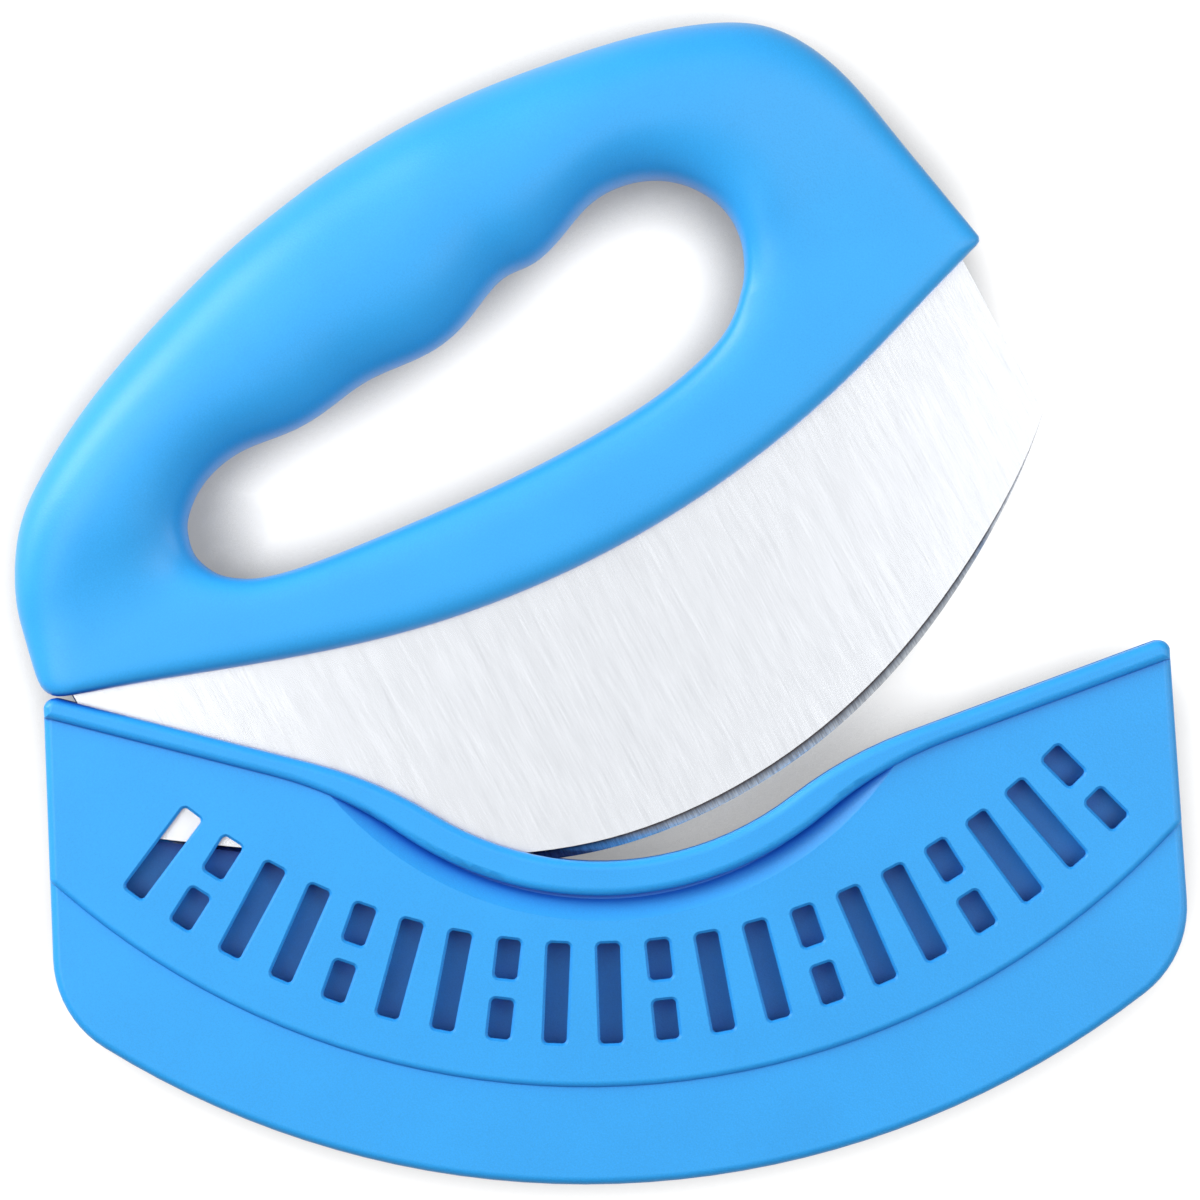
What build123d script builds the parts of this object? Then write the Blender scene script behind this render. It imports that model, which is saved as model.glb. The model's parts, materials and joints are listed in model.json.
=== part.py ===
from build123d import *
import os
from math import acos, cos, hypot, radians, sin, sqrt, tan

# A rocking pizza knife that lies on its side with its sheath swung partly off the blade.
# Knife frame: x along the knife from heel to toe, y from the cutting edge up to the grip, and z
# square to the blade, with z = 0 in the middle of the plate. The origin is the handle's heel corner.
# The finished part is moved so that its origin is the middle of its underside.

# Driving dimensions in millimetres and degrees

# handle
handle_length = 180.0
handle_rise = 58.5            # heel corner to crown
grip_thickness = 24.0
skin_wall = 2.5
collar_dip = 23.95            # heel corner to the lowest point of the handle's lower edge
collar_radius = 183.5
collar_slope = 18.3           # of the straight ends of the lower edge
collar_middle_share = 0.5492  # of the handle's length

# blade
blade_thickness = 1.5
blade_length = 173.4
blade_heel = 3.1              # handle's heel corner to the blade's end
blade_depth = 72.4            # heel corner to the lowest point of the cutting edge
bevel_width = 1.75
edge_land = 0.1
shoulder_grip = 1.6           # how deep the blade's back sits in the skin
tang_height = 9.0
tang_end_gap = 12.0
anchor_radius = 2.0
anchor_count = 7

# sheath
sheath_length = 198.76
side_taper = 0.94
skirt_radius = 159.7
skirt_drop = 89.8             # sheath origin to the lowest point of the skirt
step_radius = 139.8
step_drop = 72.85
corner_radius = 19.0
mouth_corner_radius = 2.0
pocket_gap = 4.4
panel_wall = 2.4
panel_step = 0.7              # panel above skirt
side_wall = 1.4
pocket_inset = 1.5            # pocket floor above the step line
skirt_round = 1.4
step_round = 1.2
dip_radius = 55.3
dip_drop = 33.4
mouth_slope = 17.3
mouth_heel_rise = 0.5         # straight mouth edge above the sheath origin at the heel
mouth_heel_reach = 97.2       # sheath origin to the heel along the mouth
shoulder_radius = 75.5
bead_rise = 1.2
bead_middle_width = 6.0
bead_end_width = 3.9
bead_round = 1.5
ramp_radius = 62.0
ramp_drop = 43.7
ramp_slope = 25.0
ramp_share = 0.73             # of the panel's wall that the ramp may take

# windows in the sheath's panel
window_count = 20
window_pitch = 4.3
window_phase = 1.075
window_height = 17.5
window_width = 4.0
window_round = 0.8
window_bridge = 3.6
window_edge = 0.45
window_to_step = 7.7

# pegs that locate the two shells
peg_radius = 1.6
peg_height = 1.8
peg_clearance = 0.1
peg_angles = (9.0, 24.0)

# pose of the sheath on the knife
rocker_x = 6.3                # centre that the sheath turns about, from the heel corner
rocker_y = 4.3
closed_x = 99.71              # sheath origin when the sheath is closed
closed_y = -3.41
open_angle = 24.98            # how far the sheath is open at rest

# one overrun for every cut that has to pass a face
overrun = 2.0

# handle stations: x and y of the opening's edge, x and y of the outline, half thickness, squareness
# of the opening's side and of the outer side, and how far the core stays back in skin walls
# x in shares of the handle's length, y of its rise, thickness of the grip's half thickness
arch_shares = [
    (0.2083, 0.0496, 0.0036, -0.0171, 0.60, 4.6, 7.0, 3.0),
    (0.2039, 0.0607, -0.0015, 0.0001, 0.60, 4.5, 6.6, 3.0),
    (0.2000, 0.0718, -0.0044, 0.0217, 0.60, 4.3, 6.0, 2.6),
    (0.1967, 0.0838, -0.0048, 0.0450, 0.60, 4.1, 5.4, 2.0),
    (0.1917, 0.1111, -0.0025, 0.0957, 0.605, 3.6, 4.5, 1.5),
    (0.1867, 0.1641, 0.0042, 0.1966, 0.64, 3.1, 3.5, 1.2),
    (0.1900, 0.2222, 0.0144, 0.3043, 0.72, 2.8, 3.0, 1.0),
    (0.1960, 0.2600, 0.0385, 0.4380, 0.82, 2.5, 2.6, 1.0),
    (0.2150, 0.3150, 0.0880, 0.5780, 0.90, 2.4, 2.4, 1.0),
    (0.2440, 0.3560, 0.1560, 0.6980, 0.96, 2.3, 2.3, 1.0),
    (0.2810, 0.3680, 0.2310, 0.7960, 1.00, 2.2, 2.2, 1.0),
    (0.3330, 0.3510, 0.3060, 0.8740, 1.00, 2.2, 2.2, 1.0),
    (0.3750, 0.3620, 0.3600, 0.9210, 1.00, 2.2, 2.2, 1.0),
    (0.4170, 0.3780, 0.4150, 0.9550, 1.00, 2.2, 2.2, 1.0),
    (0.4830, 0.3660, 0.4780, 0.9840, 1.00, 2.2, 2.2, 1.0),
    (0.5310, 0.4010, 0.5280, 0.9960, 1.00, 2.2, 2.2, 1.0),
    (0.5780, 0.4580, 0.5760, 1.0000, 1.00, 2.2, 2.2, 1.0),
    (0.6080, 0.4550, 0.6200, 0.9950, 1.00, 2.2, 2.2, 1.0),
    (0.6470, 0.4860, 0.6720, 0.9800, 0.99, 2.2, 2.2, 1.0),
    (0.6850, 0.5310, 0.7330, 0.9530, 0.98, 2.2, 2.3, 1.0),
    (0.7250, 0.5330, 0.8000, 0.9130, 0.95, 2.2, 2.5, 1.0),
    (0.7600, 0.4900, 0.8620, 0.8530, 0.91, 2.3, 2.8, 1.0),
    (0.7850, 0.4150, 0.9140, 0.7650, 0.86, 2.4, 3.2, 1.0),
    (0.7985, 0.3250, 0.9460, 0.6400, 0.79, 2.6, 3.9, 1.0),
    (0.7992, 0.2350, 0.9680, 0.4570, 0.71, 3.0, 4.8, 1.0),
    (0.7939, 0.1790, 0.9800, 0.2726, 0.64, 3.5, 5.8, 1.0),
    (0.7867, 0.1346, 0.9900, 0.1193, 0.61, 4.0, 6.8, 1.1),
    (0.7794, 0.1022, 0.9978, 0.0000, 0.60, 4.5, 7.4, 1.3),
    (0.7739, 0.0835, 1.0016, -0.0579, 0.60, 4.8, 7.8, 1.8),
    (0.7711, 0.0741, 1.0033, -0.0852, 0.60, 5.0, 8.0, 2.4),
    (0.7689, 0.0664, 1.0041, -0.0980, 0.60, 5.0, 8.0, 2.8),
    (0.7667, 0.0596, 1.0033, -0.1092, 0.60, 5.0, 8.0, 3.0),
]
# bar stations: the same, but y on the lower edge follows from x
bar_shares = [
    (0.7644, 0.0528, 1.0000, 0.60, 5.0, 8.0, 3.0),
    (0.7617, 0.0451, 0.9950, 0.60, 4.9, 7.8, 2.8),
    (0.7572, 0.0341, 0.9833, 0.60, 4.7, 7.5, 2.2),
    (0.7478, 0.0136, 0.9583, 0.60, 4.4, 7.0, 1.5),
    (0.7322, -0.0102, 0.9167, 0.60, 4.0, 6.4, 1.1),
    (0.7072, -0.0358, 0.8444, 0.60, 3.6, 5.8, 1.0),
    (0.6600, -0.0660, 0.7350, 0.60, 3.4, 5.2, 1.0),
    (0.6050, -0.0810, 0.6300, 0.60, 3.4, 4.8, 1.0),
    (0.5450, -0.0850, 0.5480, 0.60, 3.4, 4.6, 1.0),
    (0.4650, -0.0770, 0.4520, 0.60, 3.4, 4.6, 1.0),
    (0.3800, -0.0570, 0.3450, 0.60, 3.4, 4.6, 1.0),
    (0.3050, -0.0340, 0.2350, 0.60, 3.4, 4.6, 1.0),
    (0.2550, -0.0100, 0.1350, 0.60, 3.6, 5.2, 1.0),
    (0.2239, 0.0205, 0.0450, 0.60, 4.3, 6.4, 1.6),
    (0.2128, 0.0402, 0.0103, 0.60, 4.6, 7.0, 3.0),
]
section_steps = 12

# cutting edge from heel to toe, in shares of the blade's length and depth, and the bevel's width
edge_shares = [
    (0.000, 0.424, 0.20),
    (0.082, 0.566, 0.50),
    (0.245, 0.806, 0.85),
    (0.400, 0.962, 1.00),
    (0.515, 1.000, 1.00),
    (0.630, 0.983, 1.00),
    (0.755, 0.901, 0.85),
    (0.875, 0.756, 0.50),
    (0.972, 0.589, 0.12),
    (1.000, 0.527, 0.05),
]
grind_aim_share = 0.4         # the bevel narrows towards a point this far above the blade

# Values worked out from the driving dimensions
mouth_half = sheath_length / 2 - side_taper
half_grip = grip_thickness / 2
half_blade = blade_thickness / 2
half_pocket = pocket_gap / 2
panel_top = half_pocket + panel_wall
skirt_top = panel_top - panel_step
bead_top = panel_top + bead_rise
collar_middle = collar_middle_share * handle_length
collar_centre_y = collar_radius - collar_dip
collar_turn = radians(collar_slope)
dip_centre_y = dip_radius - dip_drop
mouth_turn = radians(mouth_slope)
mouth_distance = mouth_heel_rise * cos(mouth_turn) - mouth_heel_reach * sin(mouth_turn)
step_centre_y = step_radius - step_drop
skirt_centre_y = skirt_radius - skirt_drop
half_sheath = sheath_length / 2


def collar_height(x, raised=0.0):
    """Height of the handle's lower edge at x: an arc with two straight ends, offset upwards."""
    radius = collar_radius - raised
    reach = radius * sin(collar_turn)
    offset = abs(x - collar_middle)
    if offset <= reach:
        return collar_centre_y - sqrt(radius ** 2 - offset ** 2)
    return collar_centre_y - radius * cos(collar_turn) + (offset - reach) * tan(collar_turn)


def collar_edges(start_x, end_x, raised):
    """The handle's lower edge from start_x to end_x, offset upwards by raised."""
    reach = (collar_radius - raised) * sin(collar_turn)
    left = collar_middle - reach
    right = collar_middle + reach
    points = [(x, collar_height(x, raised)) for x in (start_x, left, collar_middle, right, end_x)]
    return [
        Line(points[0], points[1]),
        ThreePointArc(points[1], points[2], points[3]),
        Line(points[3], points[4]),
    ]


# Handle

def superellipse(share, inner_square, outer_square):
    """Point of a unit superellipse, from the inner edge over the top to the outer edge."""
    turn = radians(180 * (1 - share))
    power = 2 / (inner_square if share < 0.5 else outer_square)
    across = abs(cos(turn)) ** power * (1 if cos(turn) >= 0 else -1)
    return across, abs(sin(turn)) ** power


def handle_section(inner, outer, half, squares, tuck, wall):
    """Points over the front half of one section, from the opening's edge to the outline."""
    width = hypot(outer[0] - inner[0], outer[1] - inner[1])
    toward = Vector(outer[0] - inner[0], outer[1] - inner[1]) / width
    middle = Vector(*inner) + toward * (width + wall - tuck * wall) / 2
    reach = (width - wall - tuck * wall) / 2
    points = []
    for index in range(section_steps + 1):
        across, along = superellipse(index / section_steps, *squares)
        if index in (0, section_steps):
            along = 0
        points.append(middle + toward * reach * across + Vector(0, 0, (half - wall) * along))
    return points


def handle_sections(wall):
    """All sections round the loop, drawn in by wall, clockwise from the middle of the bar."""
    arch = []
    for inner_x, inner_y, outer_x, outer_y, half, *squares, tuck in arch_shares:
        inner = (inner_x * handle_length, inner_y * handle_rise)
        outer = (outer_x * handle_length, outer_y * handle_rise)
        arch.append(handle_section(inner, outer, half * half_grip, squares, tuck, wall))
    bar = []
    for inner_x, inner_y, outer_x, half, *squares, tuck in bar_shares:
        inner = (inner_x * handle_length, inner_y * handle_rise)
        outer = (outer_x * handle_length, collar_height(outer_x * handle_length))
        bar.append(handle_section(inner, outer, half * half_grip, squares, tuck, wall))
    middle = len(bar) // 2
    return bar[middle:] + arch + bar[:middle]


def handle_loop(wall):
    """The handle's closed loop: a smooth surface over rings that run round it, and its mirror image."""
    sections = handle_sections(wall)
    travel = [0]
    for here, after in zip(sections, sections[1:] + sections[:1]):
        inner_step = (after[0] - here[0]).length
        outer_step = (after[-1] - here[-1]).length
        travel.append(travel[-1] + sqrt(inner_step * outer_step))
    places = [distance / travel[-1] for distance in travel]
    rings = []
    for index in range(section_steps + 1):
        points = [section[index] for section in sections]
        rings.append(Wire([Edge.make_spline(points, periodic=True, parameters=places)]))
    front = Shell.make_loft(rings).faces()
    back = [face.mirror(Plane.XY) for face in front]
    return Solid(Shell(front + back))


# Blade

def edge_point(along, deep, bevel):
    """Point of the cutting edge, moved up by bevel towards the point that the grind aims at."""
    x = blade_heel + along * blade_length
    y = -deep * blade_depth
    aim_x = blade_heel + blade_length / 2 - x
    aim_y = grind_aim_share * blade_length - y
    distance = hypot(aim_x, aim_y)
    return x + bevel * aim_x / distance, y + bevel * aim_y / distance


def blade_outline(height, width):
    """Closed outline of the plate at one height, down to the bevel's upper line of that width."""
    lower = [edge_point(along, deep, width * share) for along, deep, share in edge_shares]
    start = (lower[0][0], collar_height(lower[0][0], shoulder_grip))
    end = (lower[-1][0], collar_height(lower[-1][0], shoulder_grip))
    edges = collar_edges(start[0], end[0], shoulder_grip)
    edges += [Line(end, lower[-1]), Spline(*reversed(lower)), Line(lower[0], start)]
    return Pos(0, 0, height) * make_face(Wire(edges))


def blade_tang():
    """The part of the plate inside the handle, with its anchor holes."""
    start_x = blade_heel + tang_end_gap
    end_x = blade_heel + blade_length - tang_end_gap
    top = collar_edges(start_x, end_x, tang_height)
    start = (start_x, collar_height(start_x))
    end = (end_x, collar_height(end_x))
    middle = (collar_middle, collar_height(collar_middle))
    edges = top + [
        Line(top[-1] @ 1, end),
        ThreePointArc(end, middle, start),
        Line(start, top[0] @ 0),
    ]
    tang = extrude(make_face(Wire(edges)), half_blade, both=True)
    hole_height = (tang_height + skin_wall) / 2
    for index in range(anchor_count):
        x = start_x + (index + 0.5) / anchor_count * (end_x - start_x)
        hole = Cylinder(anchor_radius, blade_thickness + overrun)
        tang -= Pos(x, collar_height(x, hole_height), 0) * hole
    return tang


def make_blade():
    """Flat plate with a bevel on both sides of its cutting edge, and the tang."""
    land = edge_land / 2
    front = loft([blade_outline(land, 0), blade_outline(half_blade, bevel_width)], ruled=True)
    back = front.mirror(Plane.XY)
    middle = extrude(blade_outline(0, 0), land, both=True)
    return front + back + middle + blade_tang()


# Sheath, in its own frame: x along the mouth from its middle, y up to the mouth, z to the front

def mouth_points(middle_drop, end_drop):
    """Key points of the left half of the mouth's edge, or of a line that lies below it."""
    radius = dip_radius + middle_drop
    shoulder = shoulder_radius - (middle_drop + end_drop) / 2
    reach = radius + shoulder
    drop = dip_centre_y * cos(mouth_turn) - mouth_distance + end_drop + shoulder
    steep = mouth_turn + acos(drop / reach)
    centre = Vector(-reach * sin(steep), dip_centre_y - reach * cos(steep))

    def on_shoulder(turn):
        return centre + Vector(sin(turn), cos(turn)) * shoulder

    high = on_shoulder(mouth_turn)
    end = Vector(-mouth_half, high.Y + (high.X + mouth_half) * tan(mouth_turn))
    return end, high, on_shoulder((mouth_turn + steep) / 2), on_shoulder(steep)


def mouth_edges(middle_drop, end_drop):
    """The mouth's edge from left to right: straight, shoulder, dip, shoulder, straight."""
    end, high, turn, low = mouth_points(middle_drop, end_drop)
    bottom = Vector(0, dip_centre_y - dip_radius - middle_drop)

    def mirrored(point):
        return Vector(-point.X, point.Y)

    return [
        Line(end, high),
        ThreePointArc(high, turn, low),
        ThreePointArc(low, bottom, mirrored(low)),
        ThreePointArc(mirrored(low), mirrored(turn), mirrored(high)),
        Line(mirrored(high), mirrored(end)),
    ]


def sheath_outline():
    """Whole outline of the sheath: mouth, slightly flared sides, rounded corners and skirt."""
    mouth = mouth_edges(0, 0)
    low_y = skirt_centre_y - sqrt(skirt_radius ** 2 - half_sheath ** 2)
    bottom = (0, skirt_centre_y - skirt_radius)
    edges = mouth + [
        Line(mouth[-1] @ 1, (half_sheath, low_y)),
        ThreePointArc((half_sheath, low_y), bottom, (-half_sheath, low_y)),
        Line((-half_sheath, low_y), mouth[0] @ 0),
    ]
    face = make_face(Wire(edges)).face()
    corners = face.vertices().sort_by(Axis.X)
    sides = corners[:2] + corners[-2:]
    face = face.fillet_2d(corner_radius, sides.sort_by(Axis.Y)[:2])
    corners = face.vertices().sort_by(Axis.Y)
    return face.fillet_2d(mouth_corner_radius, corners[-2:])


def disc(centre_y, radius, height):
    """A round slab from z = 0 up, centred on the sheath's middle line."""
    base = (Align.CENTER, Align.CENTER, Align.MIN)
    return Pos(0, centre_y, 0) * Cylinder(radius, height, align=base)


def outer_rim(body, height):
    """Edges at one height along the sheath's sides, corners and bottom, clear of the mouth."""
    def on_rim(edge):
        middle = edge @ 0.5
        high = edge.bounding_box().min.Z > height - panel_step / 2
        at_side = abs(middle.X) > mouth_half - side_wall
        return high and (at_side or middle.Y < -dip_drop - bead_middle_width)
    return body.edges().filter_by(on_rim)


def sheath_panel(outline):
    """The raised panel inside the step line, with rounded edges."""
    panel = extrude(outline, panel_top) & disc(step_centre_y, step_radius, panel_top)
    rim = outer_rim(panel, panel_top)
    panel = fillet(rim.filter_by(GeomType.LINE), skirt_round)
    return fillet(outer_rim(panel, panel_top).filter_by(GeomType.CIRCLE), step_round)


def dip_ramp():
    """What is cut away so that the panel slopes down to the bead in the dip."""
    height = panel_wall * ramp_share
    low_radius = ramp_radius - height / tan(radians(ramp_slope))
    base = (Align.CENTER, Align.CENTER, Align.MAX)
    cone = Cone(low_radius, ramp_radius, height, align=base)
    return Pos(0, ramp_radius - ramp_drop, panel_top) * cone


def sheath_bead(outline):
    """The rounded lip along the mouth."""
    upper = mouth_edges(0, 0)
    lower = mouth_edges(bead_middle_width, bead_end_width)
    edges = upper + lower + [Line(upper[-1] @ 1, lower[-1] @ 1), Line(lower[0] @ 0, upper[0] @ 0)]
    band = make_face(Wire(edges)) & outline
    bead = Pos(0, 0, half_pocket) * extrude(band, bead_top - half_pocket)
    top_edges = bead.edges().filter_by(lambda edge: edge.bounding_box().min.Z > bead_top - bead_round)
    return fillet(top_edges, bead_round)


def pocket():
    """The space for the blade: open at the mouth, round at the floor."""
    top_x = mouth_half - side_wall
    low_x = half_sheath - side_wall
    low_y = -skirt_drop
    sides = Polyline((-top_x, overrun), (top_x, overrun), (low_x, low_y), (-low_x, low_y), close=True)
    block = extrude(make_face(sides).face(), half_pocket)
    return block & disc(step_centre_y, step_radius - pocket_inset, half_pocket)


def window(turn, from_step, height):
    """One slot through the panel, across the step line's radius, with a flared outer edge."""
    radius = step_radius - from_step - height / 2
    shape = RectangleRounded(window_width, height, window_round)
    hole = Pos(0, 0, -overrun) * extrude(shape, panel_top + overrun)
    grown = 2 * window_edge
    wide = RectangleRounded(window_width + grown, height + grown, window_round + window_edge)
    flare = Pos(0, 0, panel_top) * extrude(wide, -window_edge, taper=45)
    return Pos(0, step_centre_y, 0) * Rot(0, 0, turn) * Pos(0, -radius, 0) * (hole + flare)


def windows():
    """A fan of slots: tall ones, and every third one split in two by a bridge."""
    short = (window_height - window_bridge) / 2
    slots = []
    for index in range(window_count):
        turn = (index - (window_count - 1) / 2) * window_pitch + window_phase
        if index % 3 == 1:
            slots.append(window(turn, window_to_step, short))
            slots.append(window(turn, window_to_step + short + window_bridge, short))
        else:
            slots.append(window(turn, window_to_step, window_height))
    return slots


def at_peg(turn, thing):
    """Places a thing in the middle of the skirt, turned round the step line's centre."""
    radius = (step_centre_y + step_drop + step_centre_y + skirt_drop) / 2
    return Pos(0, step_centre_y, 0) * Rot(0, 0, turn) * Pos(0, -radius, 0) * thing


def sheath_shell():
    """One moulding: skirt, panel and bead, less the pocket, the windows and the sockets."""
    outline = sheath_outline()
    skirt = extrude(outline, skirt_top)
    skirt = fillet(outer_rim(skirt, skirt_top), skirt_round)
    shell = skirt + sheath_panel(outline) - dip_ramp() + sheath_bead(outline) - pocket()
    shell -= windows()
    down = (Align.CENTER, Align.CENTER, Align.MAX)
    up = (Align.CENTER, Align.CENTER, Align.MIN)
    for turn in peg_angles:
        shell += at_peg(-turn, Cylinder(peg_radius, peg_height, align=down))
        socket = Cylinder(peg_radius + peg_clearance, peg_height + peg_clearance, align=up)
        shell -= at_peg(turn, socket)
    return shell


# Assembly

def sheath_place(opening):
    """Where the sheath's own frame lies in the knife's frame, opened by an angle from closed."""
    rocker = Pos(rocker_x, rocker_y, 0)
    return rocker * Rot(0, 0, -opening) * Pos(closed_x - rocker_x, closed_y - rocker_y, 0)


def make_parts():
    """All pieces in the knife's frame."""
    blade = make_blade()
    inside = handle_loop(skin_wall)
    skin = handle_loop(0) - inside - blade
    core = inside - blade
    front = sheath_shell()
    back = front.rotate(Axis.Y, 180)
    place = sheath_place(open_angle)
    return {
        "blade": blade,
        "handle_core": core,
        "handle_skin": skin,
        "sheath_front": place * front,
        "sheath_back": place * back,
    }


def main():
    parts = make_parts()
    box = Compound(list(parts.values())).bounding_box()
    shift = Pos(-box.center().X, -box.center().Y, -box.min.Z)
    os.makedirs("parts", exist_ok=True)
    for name, piece in parts.items():
        export_step(shift * piece, f"parts/{name}.step")
    print("box", box.size)
    print("shift", shift.position)
    print("rocker", rocker_x + shift.position.X, rocker_y + shift.position.Y, shift.position.Z)


if __name__ == "__main__":
    main()
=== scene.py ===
import json
from math import cos, pi, radians, sin, sqrt, tan

import bpy
import numpy as np
from mathutils import Matrix, Vector


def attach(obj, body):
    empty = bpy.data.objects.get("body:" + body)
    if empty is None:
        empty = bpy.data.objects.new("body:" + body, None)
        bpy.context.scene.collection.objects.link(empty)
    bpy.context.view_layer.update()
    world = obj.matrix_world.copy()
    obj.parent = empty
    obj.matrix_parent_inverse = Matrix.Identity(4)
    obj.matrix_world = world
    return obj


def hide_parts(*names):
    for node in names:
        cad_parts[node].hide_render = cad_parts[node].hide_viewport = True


# A rocking pizza knife with its sheath, seen straight from above on a white ground.
# All lengths are in metres. The knife's own frame has x from heel to toe, y from the cutting
# edge up to the grip, and its origin at the handle's heel corner, in the middle of the blade.

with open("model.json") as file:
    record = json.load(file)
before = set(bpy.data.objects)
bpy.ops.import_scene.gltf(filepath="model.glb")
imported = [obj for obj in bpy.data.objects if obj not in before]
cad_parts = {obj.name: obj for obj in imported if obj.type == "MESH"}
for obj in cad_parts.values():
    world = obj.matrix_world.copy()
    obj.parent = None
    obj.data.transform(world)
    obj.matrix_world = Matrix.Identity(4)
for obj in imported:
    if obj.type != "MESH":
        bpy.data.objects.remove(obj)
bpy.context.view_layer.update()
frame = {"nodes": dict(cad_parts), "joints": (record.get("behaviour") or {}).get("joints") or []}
MM = 0.001
HINGE_IN_KNIFE = (6.3, 4.3, 0)
hinge = frame["joints"][0]["pos_m"]
knife_origin = Vector(hinge) - Vector(HINGE_IN_KNIFE) * MM

# Handle form

HANDLE_LENGTH = 180.0
HANDLE_RISE = 58.5
HALF_GRIP = 12.0
COLLAR_DIP, COLLAR_RADIUS, COLLAR_SLOPE = 23.95, 183.5, 18.3
COLLAR_MIDDLE = 0.5492 * HANDLE_LENGTH

# opening edge x, y and outline x, y in shares, half thickness share, squareness inside and outside
ARCH = [
    (0.2083, 0.0496, 0.0036, -0.0171, 0.60, 4.6, 7.0),
    (0.2039, 0.0607, -0.0015, 0.0001, 0.60, 4.5, 6.6),
    (0.2000, 0.0718, -0.0044, 0.0217, 0.60, 4.3, 6.0),
    (0.1967, 0.0838, -0.0048, 0.0450, 0.60, 4.1, 5.4),
    (0.1917, 0.1111, -0.0025, 0.0957, 0.605, 3.6, 4.5),
    (0.1867, 0.1641, 0.0042, 0.1966, 0.64, 3.1, 3.5),
    (0.1900, 0.2222, 0.0144, 0.3043, 0.72, 2.8, 3.0),
    (0.1960, 0.2600, 0.0385, 0.4380, 0.82, 2.5, 2.6),
    (0.2150, 0.3150, 0.0880, 0.5780, 0.90, 2.4, 2.4),
    (0.2440, 0.3560, 0.1560, 0.6980, 0.96, 2.3, 2.3),
    (0.2810, 0.3680, 0.2310, 0.7960, 1.00, 2.2, 2.2),
    (0.3330, 0.3510, 0.3060, 0.8740, 1.00, 2.2, 2.2),
    (0.3750, 0.3620, 0.3600, 0.9210, 1.00, 2.2, 2.2),
    (0.4170, 0.3780, 0.4150, 0.9550, 1.00, 2.2, 2.2),
    (0.4830, 0.3660, 0.4780, 0.9840, 1.00, 2.2, 2.2),
    (0.5310, 0.4010, 0.5280, 0.9960, 1.00, 2.2, 2.2),
    (0.5780, 0.4580, 0.5760, 1.0000, 1.00, 2.2, 2.2),
    (0.6080, 0.4550, 0.6200, 0.9950, 1.00, 2.2, 2.2),
    (0.6470, 0.4860, 0.6720, 0.9800, 0.99, 2.2, 2.2),
    (0.6850, 0.5310, 0.7330, 0.9530, 0.98, 2.2, 2.3),
    (0.7250, 0.5330, 0.8000, 0.9130, 0.95, 2.2, 2.5),
    (0.7600, 0.4900, 0.8620, 0.8530, 0.91, 2.3, 2.8),
    (0.7850, 0.4150, 0.9140, 0.7650, 0.86, 2.4, 3.2),
    (0.7985, 0.3250, 0.9460, 0.6400, 0.79, 2.6, 3.9),
    (0.7992, 0.2350, 0.9680, 0.4570, 0.71, 3.0, 4.8),
    (0.7939, 0.1790, 0.9800, 0.2726, 0.64, 3.5, 5.8),
    (0.7867, 0.1346, 0.9900, 0.1193, 0.61, 4.0, 6.8),
    (0.7794, 0.1022, 0.9978, 0.0000, 0.60, 4.5, 7.4),
    (0.7739, 0.0835, 1.0016, -0.0579, 0.60, 4.8, 7.8),
    (0.7711, 0.0741, 1.0033, -0.0852, 0.60, 5.0, 8.0),
    (0.7689, 0.0664, 1.0041, -0.0980, 0.60, 5.0, 8.0),
    (0.7667, 0.0596, 1.0033, -0.1092, 0.60, 5.0, 8.0),
]
# the same for the bar, where y on the lower edge follows from x
BAR = [
    (0.7644, 0.0528, 1.0000, 0.60, 5.0, 8.0),
    (0.7617, 0.0451, 0.9950, 0.60, 4.9, 7.8),
    (0.7572, 0.0341, 0.9833, 0.60, 4.7, 7.5),
    (0.7478, 0.0136, 0.9583, 0.60, 4.4, 7.0),
    (0.7322, -0.0102, 0.9167, 0.60, 4.0, 6.4),
    (0.7072, -0.0358, 0.8444, 0.60, 3.6, 5.8),
    (0.6600, -0.0660, 0.7350, 0.60, 3.4, 5.2),
    (0.6050, -0.0810, 0.6300, 0.60, 3.4, 4.8),
    (0.5450, -0.0850, 0.5480, 0.60, 3.4, 4.6),
    (0.4650, -0.0770, 0.4520, 0.60, 3.4, 4.6),
    (0.3800, -0.0570, 0.3450, 0.60, 3.4, 4.6),
    (0.3050, -0.0340, 0.2350, 0.60, 3.4, 4.6),
    (0.2550, -0.0100, 0.1350, 0.60, 3.6, 5.2),
    (0.2239, 0.0205, 0.0450, 0.60, 4.3, 6.4),
    (0.2128, 0.0402, 0.0103, 0.60, 4.6, 7.0),
]


def collar_height(x):
    """Height of the handle's lower edge: an arc with two straight ends."""
    centre = COLLAR_RADIUS - COLLAR_DIP
    turn = radians(COLLAR_SLOPE)
    reach = COLLAR_RADIUS * sin(turn)
    offset = abs(x - COLLAR_MIDDLE)
    if offset <= reach:
        return centre - sqrt(COLLAR_RADIUS ** 2 - offset ** 2)
    return centre - COLLAR_RADIUS * cos(turn) + (offset - reach) * tan(turn)


def stations():
    """Rows of inner x, y, outer x, y, half thickness and both squarenesses round the loop, in mm."""
    arch = [
        (ix * HANDLE_LENGTH, iy * HANDLE_RISE, ox * HANDLE_LENGTH, oy * HANDLE_RISE, t * HALF_GRIP, q, p)
        for ix, iy, ox, oy, t, q, p in ARCH
    ]
    bar = [
        (ix * HANDLE_LENGTH, iy * HANDLE_RISE, ox * HANDLE_LENGTH,
         collar_height(ox * HANDLE_LENGTH), t * HALF_GRIP, q, p)
        for ix, iy, ox, t, q, p in BAR
    ]
    middle = len(bar) // 2
    return np.array(bar[middle:] + arch + bar[:middle])


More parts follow.
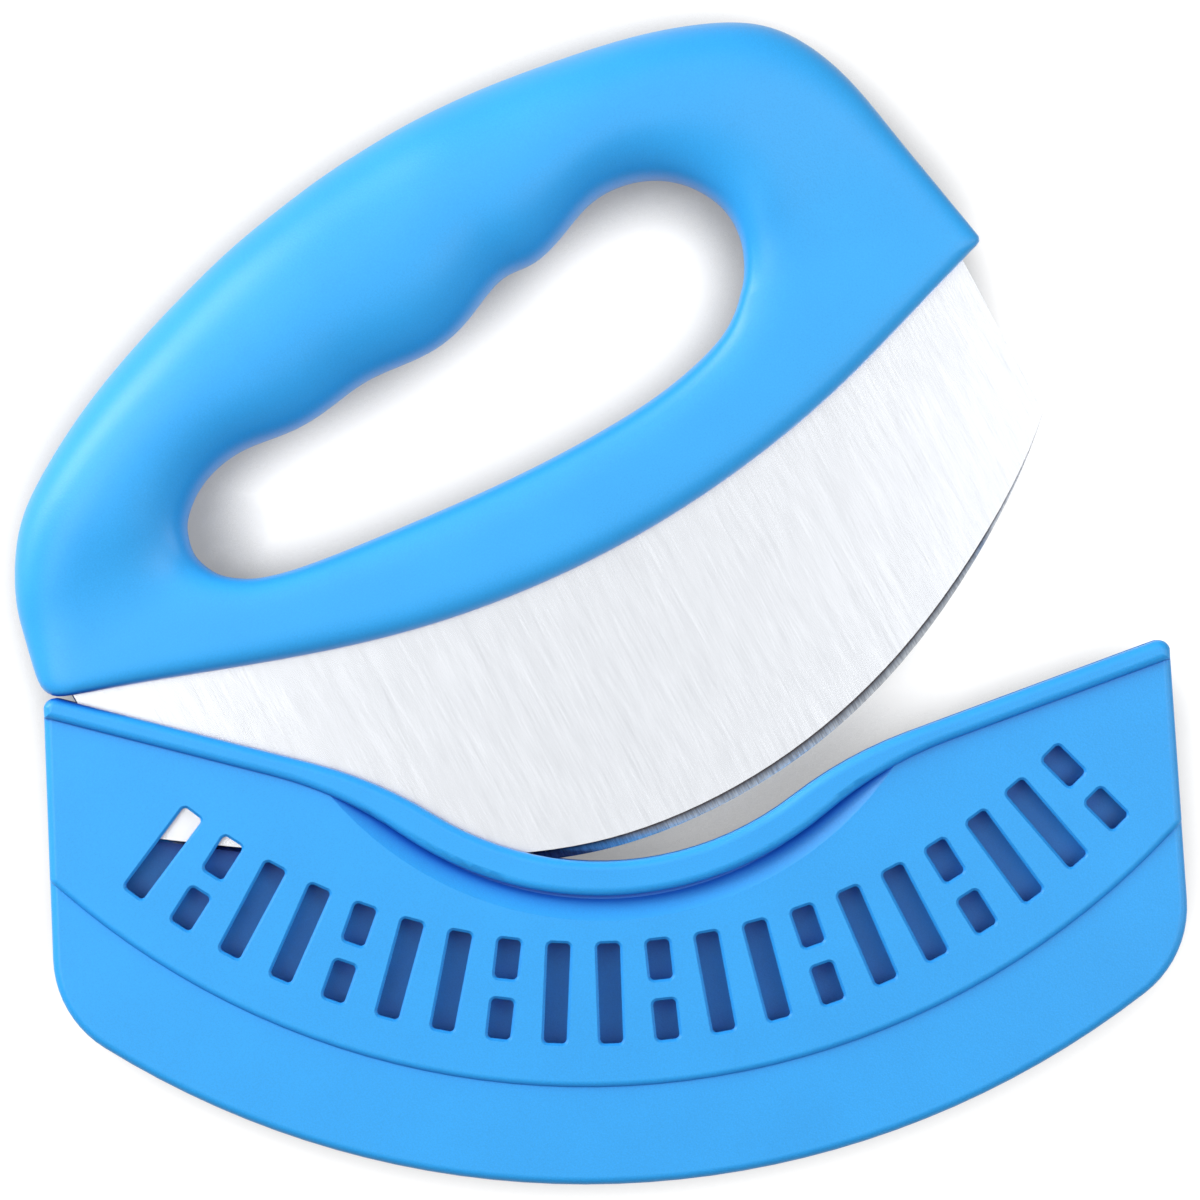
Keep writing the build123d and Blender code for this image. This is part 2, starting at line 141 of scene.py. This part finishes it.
def closed_spline(rows, places, fine):
    """Periodic cubic through rows, whose places run from 0 to 1, read at the fine places."""
    n = len(rows)
    h = np.diff(places)
    a = np.zeros((n, n))
    b = np.zeros((n, rows.shape[1]))
    for i in range(n):
        before, after = h[i - 1], h[i]
        a[i, i - 1] += before
        a[i, i] += 2 * (before + after)
        a[i, (i + 1) % n] += after
        b[i] = 6 * ((rows[(i + 1) % n] - rows[i]) / after - (rows[i] - rows[i - 1]) / before)
    bend = np.linalg.solve(a, b)
    out = []
    for t in fine:
        i = min(int(np.searchsorted(places, t, side="right")) - 1, n - 1)
        j = (i + 1) % n
        u, v = places[i + 1] - t, t - places[i]
        out.append(
            (bend[i] * u ** 3 + bend[j] * v ** 3) / (6 * h[i])
            + (rows[i] / h[i] - bend[i] * h[i] / 6) * u
            + (rows[j] / h[i] - bend[j] * h[i] / 6) * v
        )
    return np.array(out)


def handle_mesh(name, around=420, over=44):
    """The handle's loop as one smooth closed mesh."""
    rows = stations()
    after = np.roll(rows, -1, axis=0)
    inner = np.hypot(after[:, 0] - rows[:, 0], after[:, 1] - rows[:, 1])
    outer = np.hypot(after[:, 2] - rows[:, 2], after[:, 3] - rows[:, 3])
    places = np.concatenate([[0], np.cumsum(np.sqrt(inner * outer))])
    places /= places[-1]
    fine = closed_spline(rows, places, np.arange(around) / around)
    points = []
    for ix, iy, ox, oy, half, inner_square, outer_square in fine:
        for k in range(2 * over):
            turn = pi * (1 - k / over)
            square = inner_square if over / 2 > k or k > 1.5 * over else outer_square
            across = abs(cos(turn)) ** (2 / square) * (1 if cos(turn) >= 0 else -1)
            along = abs(sin(turn)) ** (2 / square) * (1 if k < over else -1)
            if k in (0, over):
                along = 0
            share = (1 + across) / 2
            points.append((
                knife_origin.x + (ix + (ox - ix) * share) * MM,
                knife_origin.y + (iy + (oy - iy) * share) * MM,
                knife_origin.z + half * along * MM,
            ))
    ring = 2 * over
    faces = []
    for i in range(around):
        j = (i + 1) % around
        for k in range(ring):
            m = (k + 1) % ring
            faces.append((i * ring + k, j * ring + k, j * ring + m, i * ring + m))
    mesh = bpy.data.meshes.new(name)
    mesh.from_pydata(points, [], faces)
    mesh.validate()
    mesh.polygons.foreach_set("use_smooth", [True] * len(mesh.polygons))
    mesh.update()
    piece = bpy.data.objects.new(name, mesh)
    bpy.context.scene.collection.objects.link(piece)
    return piece


# Plastic: texture scales are per metre

HANDLE_COLOUR = (0.034, 0.41, 0.96)
SHEATH_COLOUR = (0.026, 0.385, 0.93)
CORE_COLOUR = (0.03, 0.28, 0.70)
SATIN, DULL = 0.40, 0.5
PLASTIC_IOR = 1.46
CLOUD_SCALE, CLOUD_SHARE = 60.0, 0.35
SPECK_SCALE, SPECK_SHARE = 3600.0, 0.65
MOTTLE_DARK, MOTTLE_LIGHT = 0.90, 1.10
GRAIN_SCALE, GRAIN_STRENGTH, GRAIN_DEPTH = 3000.0, 0.35, 0.06 * MM
# painted shade: occlusion within this reach darkens the plastic's colour to these shares of itself in
# recesses
PAINTED_SHADE_REACH = 0.006
PAINTED_SHADE_CLOSED, PAINTED_SHADE_OPEN = 0.50, 0.97
PAINTED_SHADE_SHARES = (0.2, 0.30, 0.62)

# Steel

PLATE_DARK = (0.756, 0.780, 0.822)
PLATE_LIGHT = (0.780, 0.802, 0.842)
PLATE_SMOOTH, PLATE_ROUGH = 0.20, 0.26
BRUSH_FINE, FINE_SHARE = (5200.0, 130.0, 400.0), 0.75
BRUSH_BROAD, BROAD_SHARE = (700.0, 40.0, 60.0), 0.25
BRUSH_LOW, BRUSH_HIGH = 0.3, 0.7
BRUSH_STRENGTH, BRUSH_DEPTH = 0.015, 0.02 * MM
# where the face's normal leaves the vertical, the bevel begins
FLAT_LEVEL, BEVEL_LEVEL = 0.999, 0.99
# painted shade and reflection across the bevel, darkest by the plate and lighter down to the edge
BEVEL_PAINTED_SHADE = [
    (0.0, (0.10, 0.09, 0.09)), (0.12, (0.12, 0.11, 0.12)), (0.30, (0.28, 0.31, 0.36)),
    (0.62, (0.50, 0.54, 0.60)), (1.0, (0.74, 0.77, 0.80)),
]
BEVEL_TEETH = (3000.0, 300.0, 300.0)
SCRATCH_SHADES = [(0.35, (0.62, 0.62, 0.63)), (0.65, (1.0, 1.0, 1.0))]
HALF_BLADE = 0.75 * MM
HALF_LAND = 0.05 * MM


def new_material(name):
    material = bpy.data.materials.new(name)
    material.use_nodes = True
    nodes = material.node_tree.nodes
    return material, nodes, material.node_tree.links, nodes["Principled BSDF"]


def noise(nodes, links, source, scale, detail=2.0, rough=0.5):
    texture = nodes.new("ShaderNodeTexNoise")
    texture.inputs["Scale"].default_value = scale
    texture.inputs["Detail"].default_value = detail
    texture.inputs["Roughness"].default_value = rough
    links.new(source, texture.inputs["Vector"])
    return texture.outputs["Fac"]


def ramp(nodes, links, source, stops):
    colours = nodes.new("ShaderNodeValToRGB")
    elements = colours.color_ramp.elements
    while len(elements) < len(stops):
        elements.new(0.5)
    for element, (place, colour) in zip(elements, stops):
        element.position = place
        element.color = (*colour, 1)
    links.new(source, colours.inputs["Fac"])
    return colours.outputs["Color"]


def math(nodes, links, operation, first, second):
    step = nodes.new("ShaderNodeMath")
    step.operation = operation
    for socket, value in zip(step.inputs, (first, second)):
        if isinstance(value, (int, float)):
            socket.default_value = value
        else:
            links.new(value, socket)
    return step.outputs["Value"]


def blend(nodes, links, share, first, second, way="MIX"):
    """A colour between two colours by a share, which is a socket or a number from 0 to 1."""
    mix = nodes.new("ShaderNodeMix")
    mix.data_type = "RGBA"
    mix.blend_type = way
    if isinstance(share, float):
        mix.inputs["Factor"].default_value = share
    else:
        links.new(share, mix.inputs["Factor"])
    sockets = [socket for socket in mix.inputs if socket.type == "RGBA"]
    for socket, value in zip(sockets, (first, second)):
        if isinstance(value, tuple):
            socket.default_value = (*value, 1)
        else:
            links.new(value, socket)
    return next(socket for socket in mix.outputs if socket.type == "RGBA")


def spread(nodes, links, source, low, high, to_low, to_high):
    """Maps low..high to to_low..to_high, clamped."""
    scale = nodes.new("ShaderNodeMapRange")
    scale.inputs["From Min"].default_value = low
    scale.inputs["From Max"].default_value = high
    scale.inputs["To Min"].default_value = to_low
    scale.inputs["To Max"].default_value = to_high
    links.new(source, scale.inputs["Value"])
    return scale.outputs["Result"]


def stretched(nodes, links, source, scale):
    mapping = nodes.new("ShaderNodeMapping")
    mapping.inputs["Scale"].default_value = scale
    links.new(source, mapping.inputs["Vector"])
    return mapping.outputs["Vector"]


def emboss(nodes, links, shader, height, strength, depth):
    """Lets a height texture tilt the shader's normal."""
    bump = nodes.new("ShaderNodeBump")
    bump.inputs["Strength"].default_value = strength
    bump.inputs["Distance"].default_value = depth
    links.new(height, bump.inputs["Height"])
    links.new(bump.outputs["Normal"], shader.inputs["Normal"])


def moulded_plastic(name, colour, roughness):
    """Moulded plastic: fine grain, faint cloudiness, a soft sheen and painted shade that darkens its
    colour in recesses.
    """
    material, nodes, links, shader = new_material(name)
    place = nodes.new("ShaderNodeTexCoord").outputs["Object"]
    shader.inputs["Roughness"].default_value = roughness
    shader.inputs["IOR"].default_value = PLASTIC_IOR
    cloud = noise(nodes, links, place, CLOUD_SCALE, 3.0)
    speck = noise(nodes, links, place, SPECK_SCALE, 1.0)
    mottle = math(nodes, links, "ADD", math(nodes, links, "MULTIPLY", cloud, CLOUD_SHARE),
                  math(nodes, links, "MULTIPLY", speck, SPECK_SHARE))
    dark = tuple(c * MOTTLE_DARK for c in colour)
    light = tuple(min(1.0, c * MOTTLE_LIGHT) for c in colour)
    tint = ramp(nodes, links, mottle, [(0.25, dark), (0.75, light)])
    # painted shade: ambient occlusion darkens the base colour in recesses, creases and under the bead
    shade_occlusion = nodes.new("ShaderNodeAmbientOcclusion")
    shade_occlusion.samples = 8
    shade_occlusion.inputs["Distance"].default_value = PAINTED_SHADE_REACH
    depth = spread(nodes, links, shade_occlusion.outputs["AO"], PAINTED_SHADE_CLOSED, PAINTED_SHADE_OPEN, 0.0, 1.0)
    painted_shade_colour = tuple(c * share for c, share in zip(colour, PAINTED_SHADE_SHARES))
    links.new(blend(nodes, links, depth, painted_shade_colour, tint), shader.inputs["Base Color"])
    grain = noise(nodes, links, place, GRAIN_SCALE, 1.0, 0.5)
    emboss(nodes, links, shader, grain, GRAIN_STRENGTH, GRAIN_DEPTH)
    return material


def brushed_steel(name):
    """Steel plate brushed across its length, with a scratched ground bevel whose darker colour is
    painted shade and reflection.
    """
    material, nodes, links, shader = new_material(name)
    shader.inputs["Metallic"].default_value = 1.0
    place = nodes.new("ShaderNodeTexCoord").outputs["Object"]
    lines = noise(nodes, links, stretched(nodes, links, place, BRUSH_FINE), 1.0, 2.0, 0.6)
    broad = noise(nodes, links, stretched(nodes, links, place, BRUSH_BROAD), 1.0, 2.0)
    both = math(nodes, links, "ADD", math(nodes, links, "MULTIPLY", lines, FINE_SHARE),
                math(nodes, links, "MULTIPLY", broad, BROAD_SHARE))
    plate = ramp(nodes, links, both, [(BRUSH_LOW, PLATE_DARK), (BRUSH_HIGH, PLATE_LIGHT)])

    # the bevel, told from the plate by the tilt of its face, with painted shade and reflection by how
    # far down it is
    geometry = nodes.new("ShaderNodeNewGeometry")
    tilt = nodes.new("ShaderNodeSeparateXYZ")
    links.new(geometry.outputs["True Normal"], tilt.inputs["Vector"])
    upright = math(nodes, links, "ABSOLUTE", tilt.outputs["Z"], 0.0)
    bevelled = spread(nodes, links, upright, FLAT_LEVEL, BEVEL_LEVEL, 0.0, 1.0)
    height = nodes.new("ShaderNodeSeparateXYZ")
    links.new(place, height.inputs["Vector"])
    above = math(nodes, links, "SUBTRACT", height.outputs["Z"], knife_origin.z)
    off_middle = math(nodes, links, "ABSOLUTE", above, 0.0)
    depth = spread(nodes, links, off_middle, HALF_BLADE, HALF_LAND, 0.0, 1.0)
    # painted shade and reflection: the bevel runs dark by the plate and lighter toward the edge
    facet = ramp(nodes, links, depth, BEVEL_PAINTED_SHADE)
    teeth = noise(nodes, links, stretched(nodes, links, place, BEVEL_TEETH), 1.0, 2.0, 0.7)
    scratch = ramp(nodes, links, teeth, SCRATCH_SHADES)
    facet = blend(nodes, links, 1.0, facet, scratch, "MULTIPLY")
    links.new(blend(nodes, links, bevelled, plate, facet), shader.inputs["Base Color"])
    roughness = spread(nodes, links, both, BRUSH_LOW, BRUSH_HIGH, PLATE_SMOOTH, PLATE_ROUGH)
    links.new(roughness, shader.inputs["Roughness"])
    emboss(nodes, links, shader, lines, BRUSH_STRENGTH, BRUSH_DEPTH)
    return material


handle_blue = moulded_plastic("handle_blue", HANDLE_COLOUR, SATIN)
sheath_blue = moulded_plastic("sheath_blue", SHEATH_COLOUR, SATIN)
core_blue = moulded_plastic("core_blue", CORE_COLOUR, DULL)
steel = brushed_steel("blade_steel")


def dress(node, material):
    thing = frame["nodes"][node]
    for slot in thing.material_slots:
        slot.material = material


dress("blade", steel)
dress("handle_core", core_blue)
dress("sheath_front", sheath_blue)
dress("sheath_back", sheath_blue)

# Pieces

handle = handle_mesh("handle_loop")
handle.data.materials.append(handle_blue)
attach(handle, "knife")
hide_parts("handle_skin")

# Ground, light and camera

# the picture's right and up: the knife lies 28 degrees across the picture
right = Vector((0.8829, -0.4695, 0)).normalized()
up = Vector((0.4695, 0.8829, 0)).normalized()
PICTURE_MIDDLE = (92.5, -30.8, 0)
centre = knife_origin + Vector(PICTURE_MIDDLE) * MM

GROUND_GREY = 0.30
HALF_FLOOR = 3.0
FLOOR_DROP = 0.2 * MM
SHADOW_REACH = 0.017
SHADOW_CLOSED, SHADOW_OPEN = 0.45, 0.80
SHADOW_GLOW, OPEN_GLOW = 0.24, 1.02
SKY_ON_OBJECT, SKY_SEEN = 0.06, 0.78
FRAME_WIDTH = 0.210
LENS, SENSOR = 300.0, 36.0
CLIP_NEAR, CLIP_FAR = 0.05, 20.0
LAMP_DISTANCE = 1.1
LAMP_SIZE = 0.5
# name, degrees above the ground, degrees round from the picture's right, watts
LAMPS = [
    ("key", 25, 145, 7.0),
    ("key_above", 42, 145, 2.2),
    ("low_left", 12, 165, 2.4),
    ("over_left", 65, 180, 3.1),
    ("over_right", 65, 0, 3.0),
    ("over_top", 65, 90, 1.0),
    ("right", 25, 0, 2.6),
]


def ground_material():
    """Grey to the object, and white where it is seen, but for a narrow shadow beside the object."""
    material = bpy.data.materials.new("white_ground")
    material.use_nodes = True
    nodes = material.node_tree.nodes
    links = material.node_tree.links
    nodes.clear()
    out = nodes.new("ShaderNodeOutputMaterial")
    diffuse = nodes.new("ShaderNodeBsdfDiffuse")
    diffuse.inputs["Color"].default_value = (GROUND_GREY, GROUND_GREY, GROUND_GREY, 1)
    near = nodes.new("ShaderNodeAmbientOcclusion")
    near.samples = 16
    near.inputs["Distance"].default_value = SHADOW_REACH
    toward_light = (-0.42 * right + 0.62 * up + Vector((0, 0, 0.66))).normalized()
    near.inputs["Normal"].default_value = toward_light
    openness = near.outputs["AO"]
    open_sky = spread(nodes, links, openness, SHADOW_CLOSED, SHADOW_OPEN, SHADOW_GLOW, OPEN_GLOW)
    glow = nodes.new("ShaderNodeEmission")
    path = nodes.new("ShaderNodeLightPath")
    seen = math(nodes, links, "MAXIMUM", path.outputs["Is Camera Ray"], path.outputs["Is Glossy Ray"])
    seen = math(nodes, links, "MAXIMUM", seen, path.outputs["Is Transmission Ray"])
    links.new(math(nodes, links, "MULTIPLY", seen, open_sky), glow.inputs["Strength"])
    add = nodes.new("ShaderNodeAddShader")
    links.new(diffuse.outputs["BSDF"], add.inputs[0])
    links.new(glow.outputs["Emission"], add.inputs[1])
    links.new(add.outputs["Shader"], out.inputs["Surface"])
    return material


floor_mesh = bpy.data.meshes.new("ground")
corners = [(-HALF_FLOOR, -HALF_FLOOR, 0), (HALF_FLOOR, -HALF_FLOOR, 0),
           (HALF_FLOOR, HALF_FLOOR, 0), (-HALF_FLOOR, HALF_FLOOR, 0)]
floor_mesh.from_pydata(corners, [], [(0, 1, 2, 3)])
floor = bpy.data.objects.new("ground", floor_mesh)
floor.location.z = -FLOOR_DROP
bpy.context.scene.collection.objects.link(floor)
floor_mesh.materials.append(ground_material())

world = bpy.data.worlds.new("sky")
bpy.context.scene.world = world
world.use_nodes = True
sky_nodes = world.node_tree.nodes
sky_links = world.node_tree.links
background = sky_nodes["Background"]
background.inputs["Color"].default_value = (1, 1, 1, 1)
sky_path = sky_nodes.new("ShaderNodeLightPath")
eye, gloss = sky_path.outputs["Is Camera Ray"], sky_path.outputs["Is Glossy Ray"]
seen = math(sky_nodes, sky_links, "MAXIMUM", eye, gloss)
level = spread(sky_nodes, sky_links, seen, 0.0, 1.0, SKY_ON_OBJECT, SKY_SEEN)
sky_links.new(level, background.inputs["Strength"])

# the camera looks straight down
camera_data = bpy.data.cameras.new("camera")
camera_data.lens = LENS
camera_data.sensor_width = SENSOR
camera_data.clip_start = CLIP_NEAR
camera_data.clip_end = CLIP_FAR
camera = bpy.data.objects.new("camera", camera_data)
bpy.context.scene.collection.objects.link(camera)
distance = FRAME_WIDTH * LENS / SENSOR
camera.matrix_world = Matrix((
    (right.x, up.x, 0, centre.x),
    (right.y, up.y, 0, centre.y),
    (right.z, up.z, 1, centre.z + distance),
    (0, 0, 0, 1),
))
bpy.context.scene.camera = camera


def softbox(name, height, side, power):
    """A square lamp, height degrees above the ground and side degrees round from picture right."""
    lamp = bpy.data.lights.new(name, "AREA")
    lamp.shape = "SQUARE"
    lamp.size = LAMP_SIZE
    lamp.energy = power
    box = bpy.data.objects.new(name, lamp)
    bpy.context.scene.collection.objects.link(box)
    level, lift = cos(radians(height)), sin(radians(height))
    reach = right * (level * cos(radians(side))) + up * (level * sin(radians(side)))
    box.location = centre + (reach + Vector((0, 0, lift))) * LAMP_DISTANCE
    box.rotation_euler = (box.location - centre).to_track_quat("Z", "Y").to_euler()


for lamp in LAMPS:
    softbox(*lamp)

bpy.context.scene.view_settings.view_transform = "Standard"
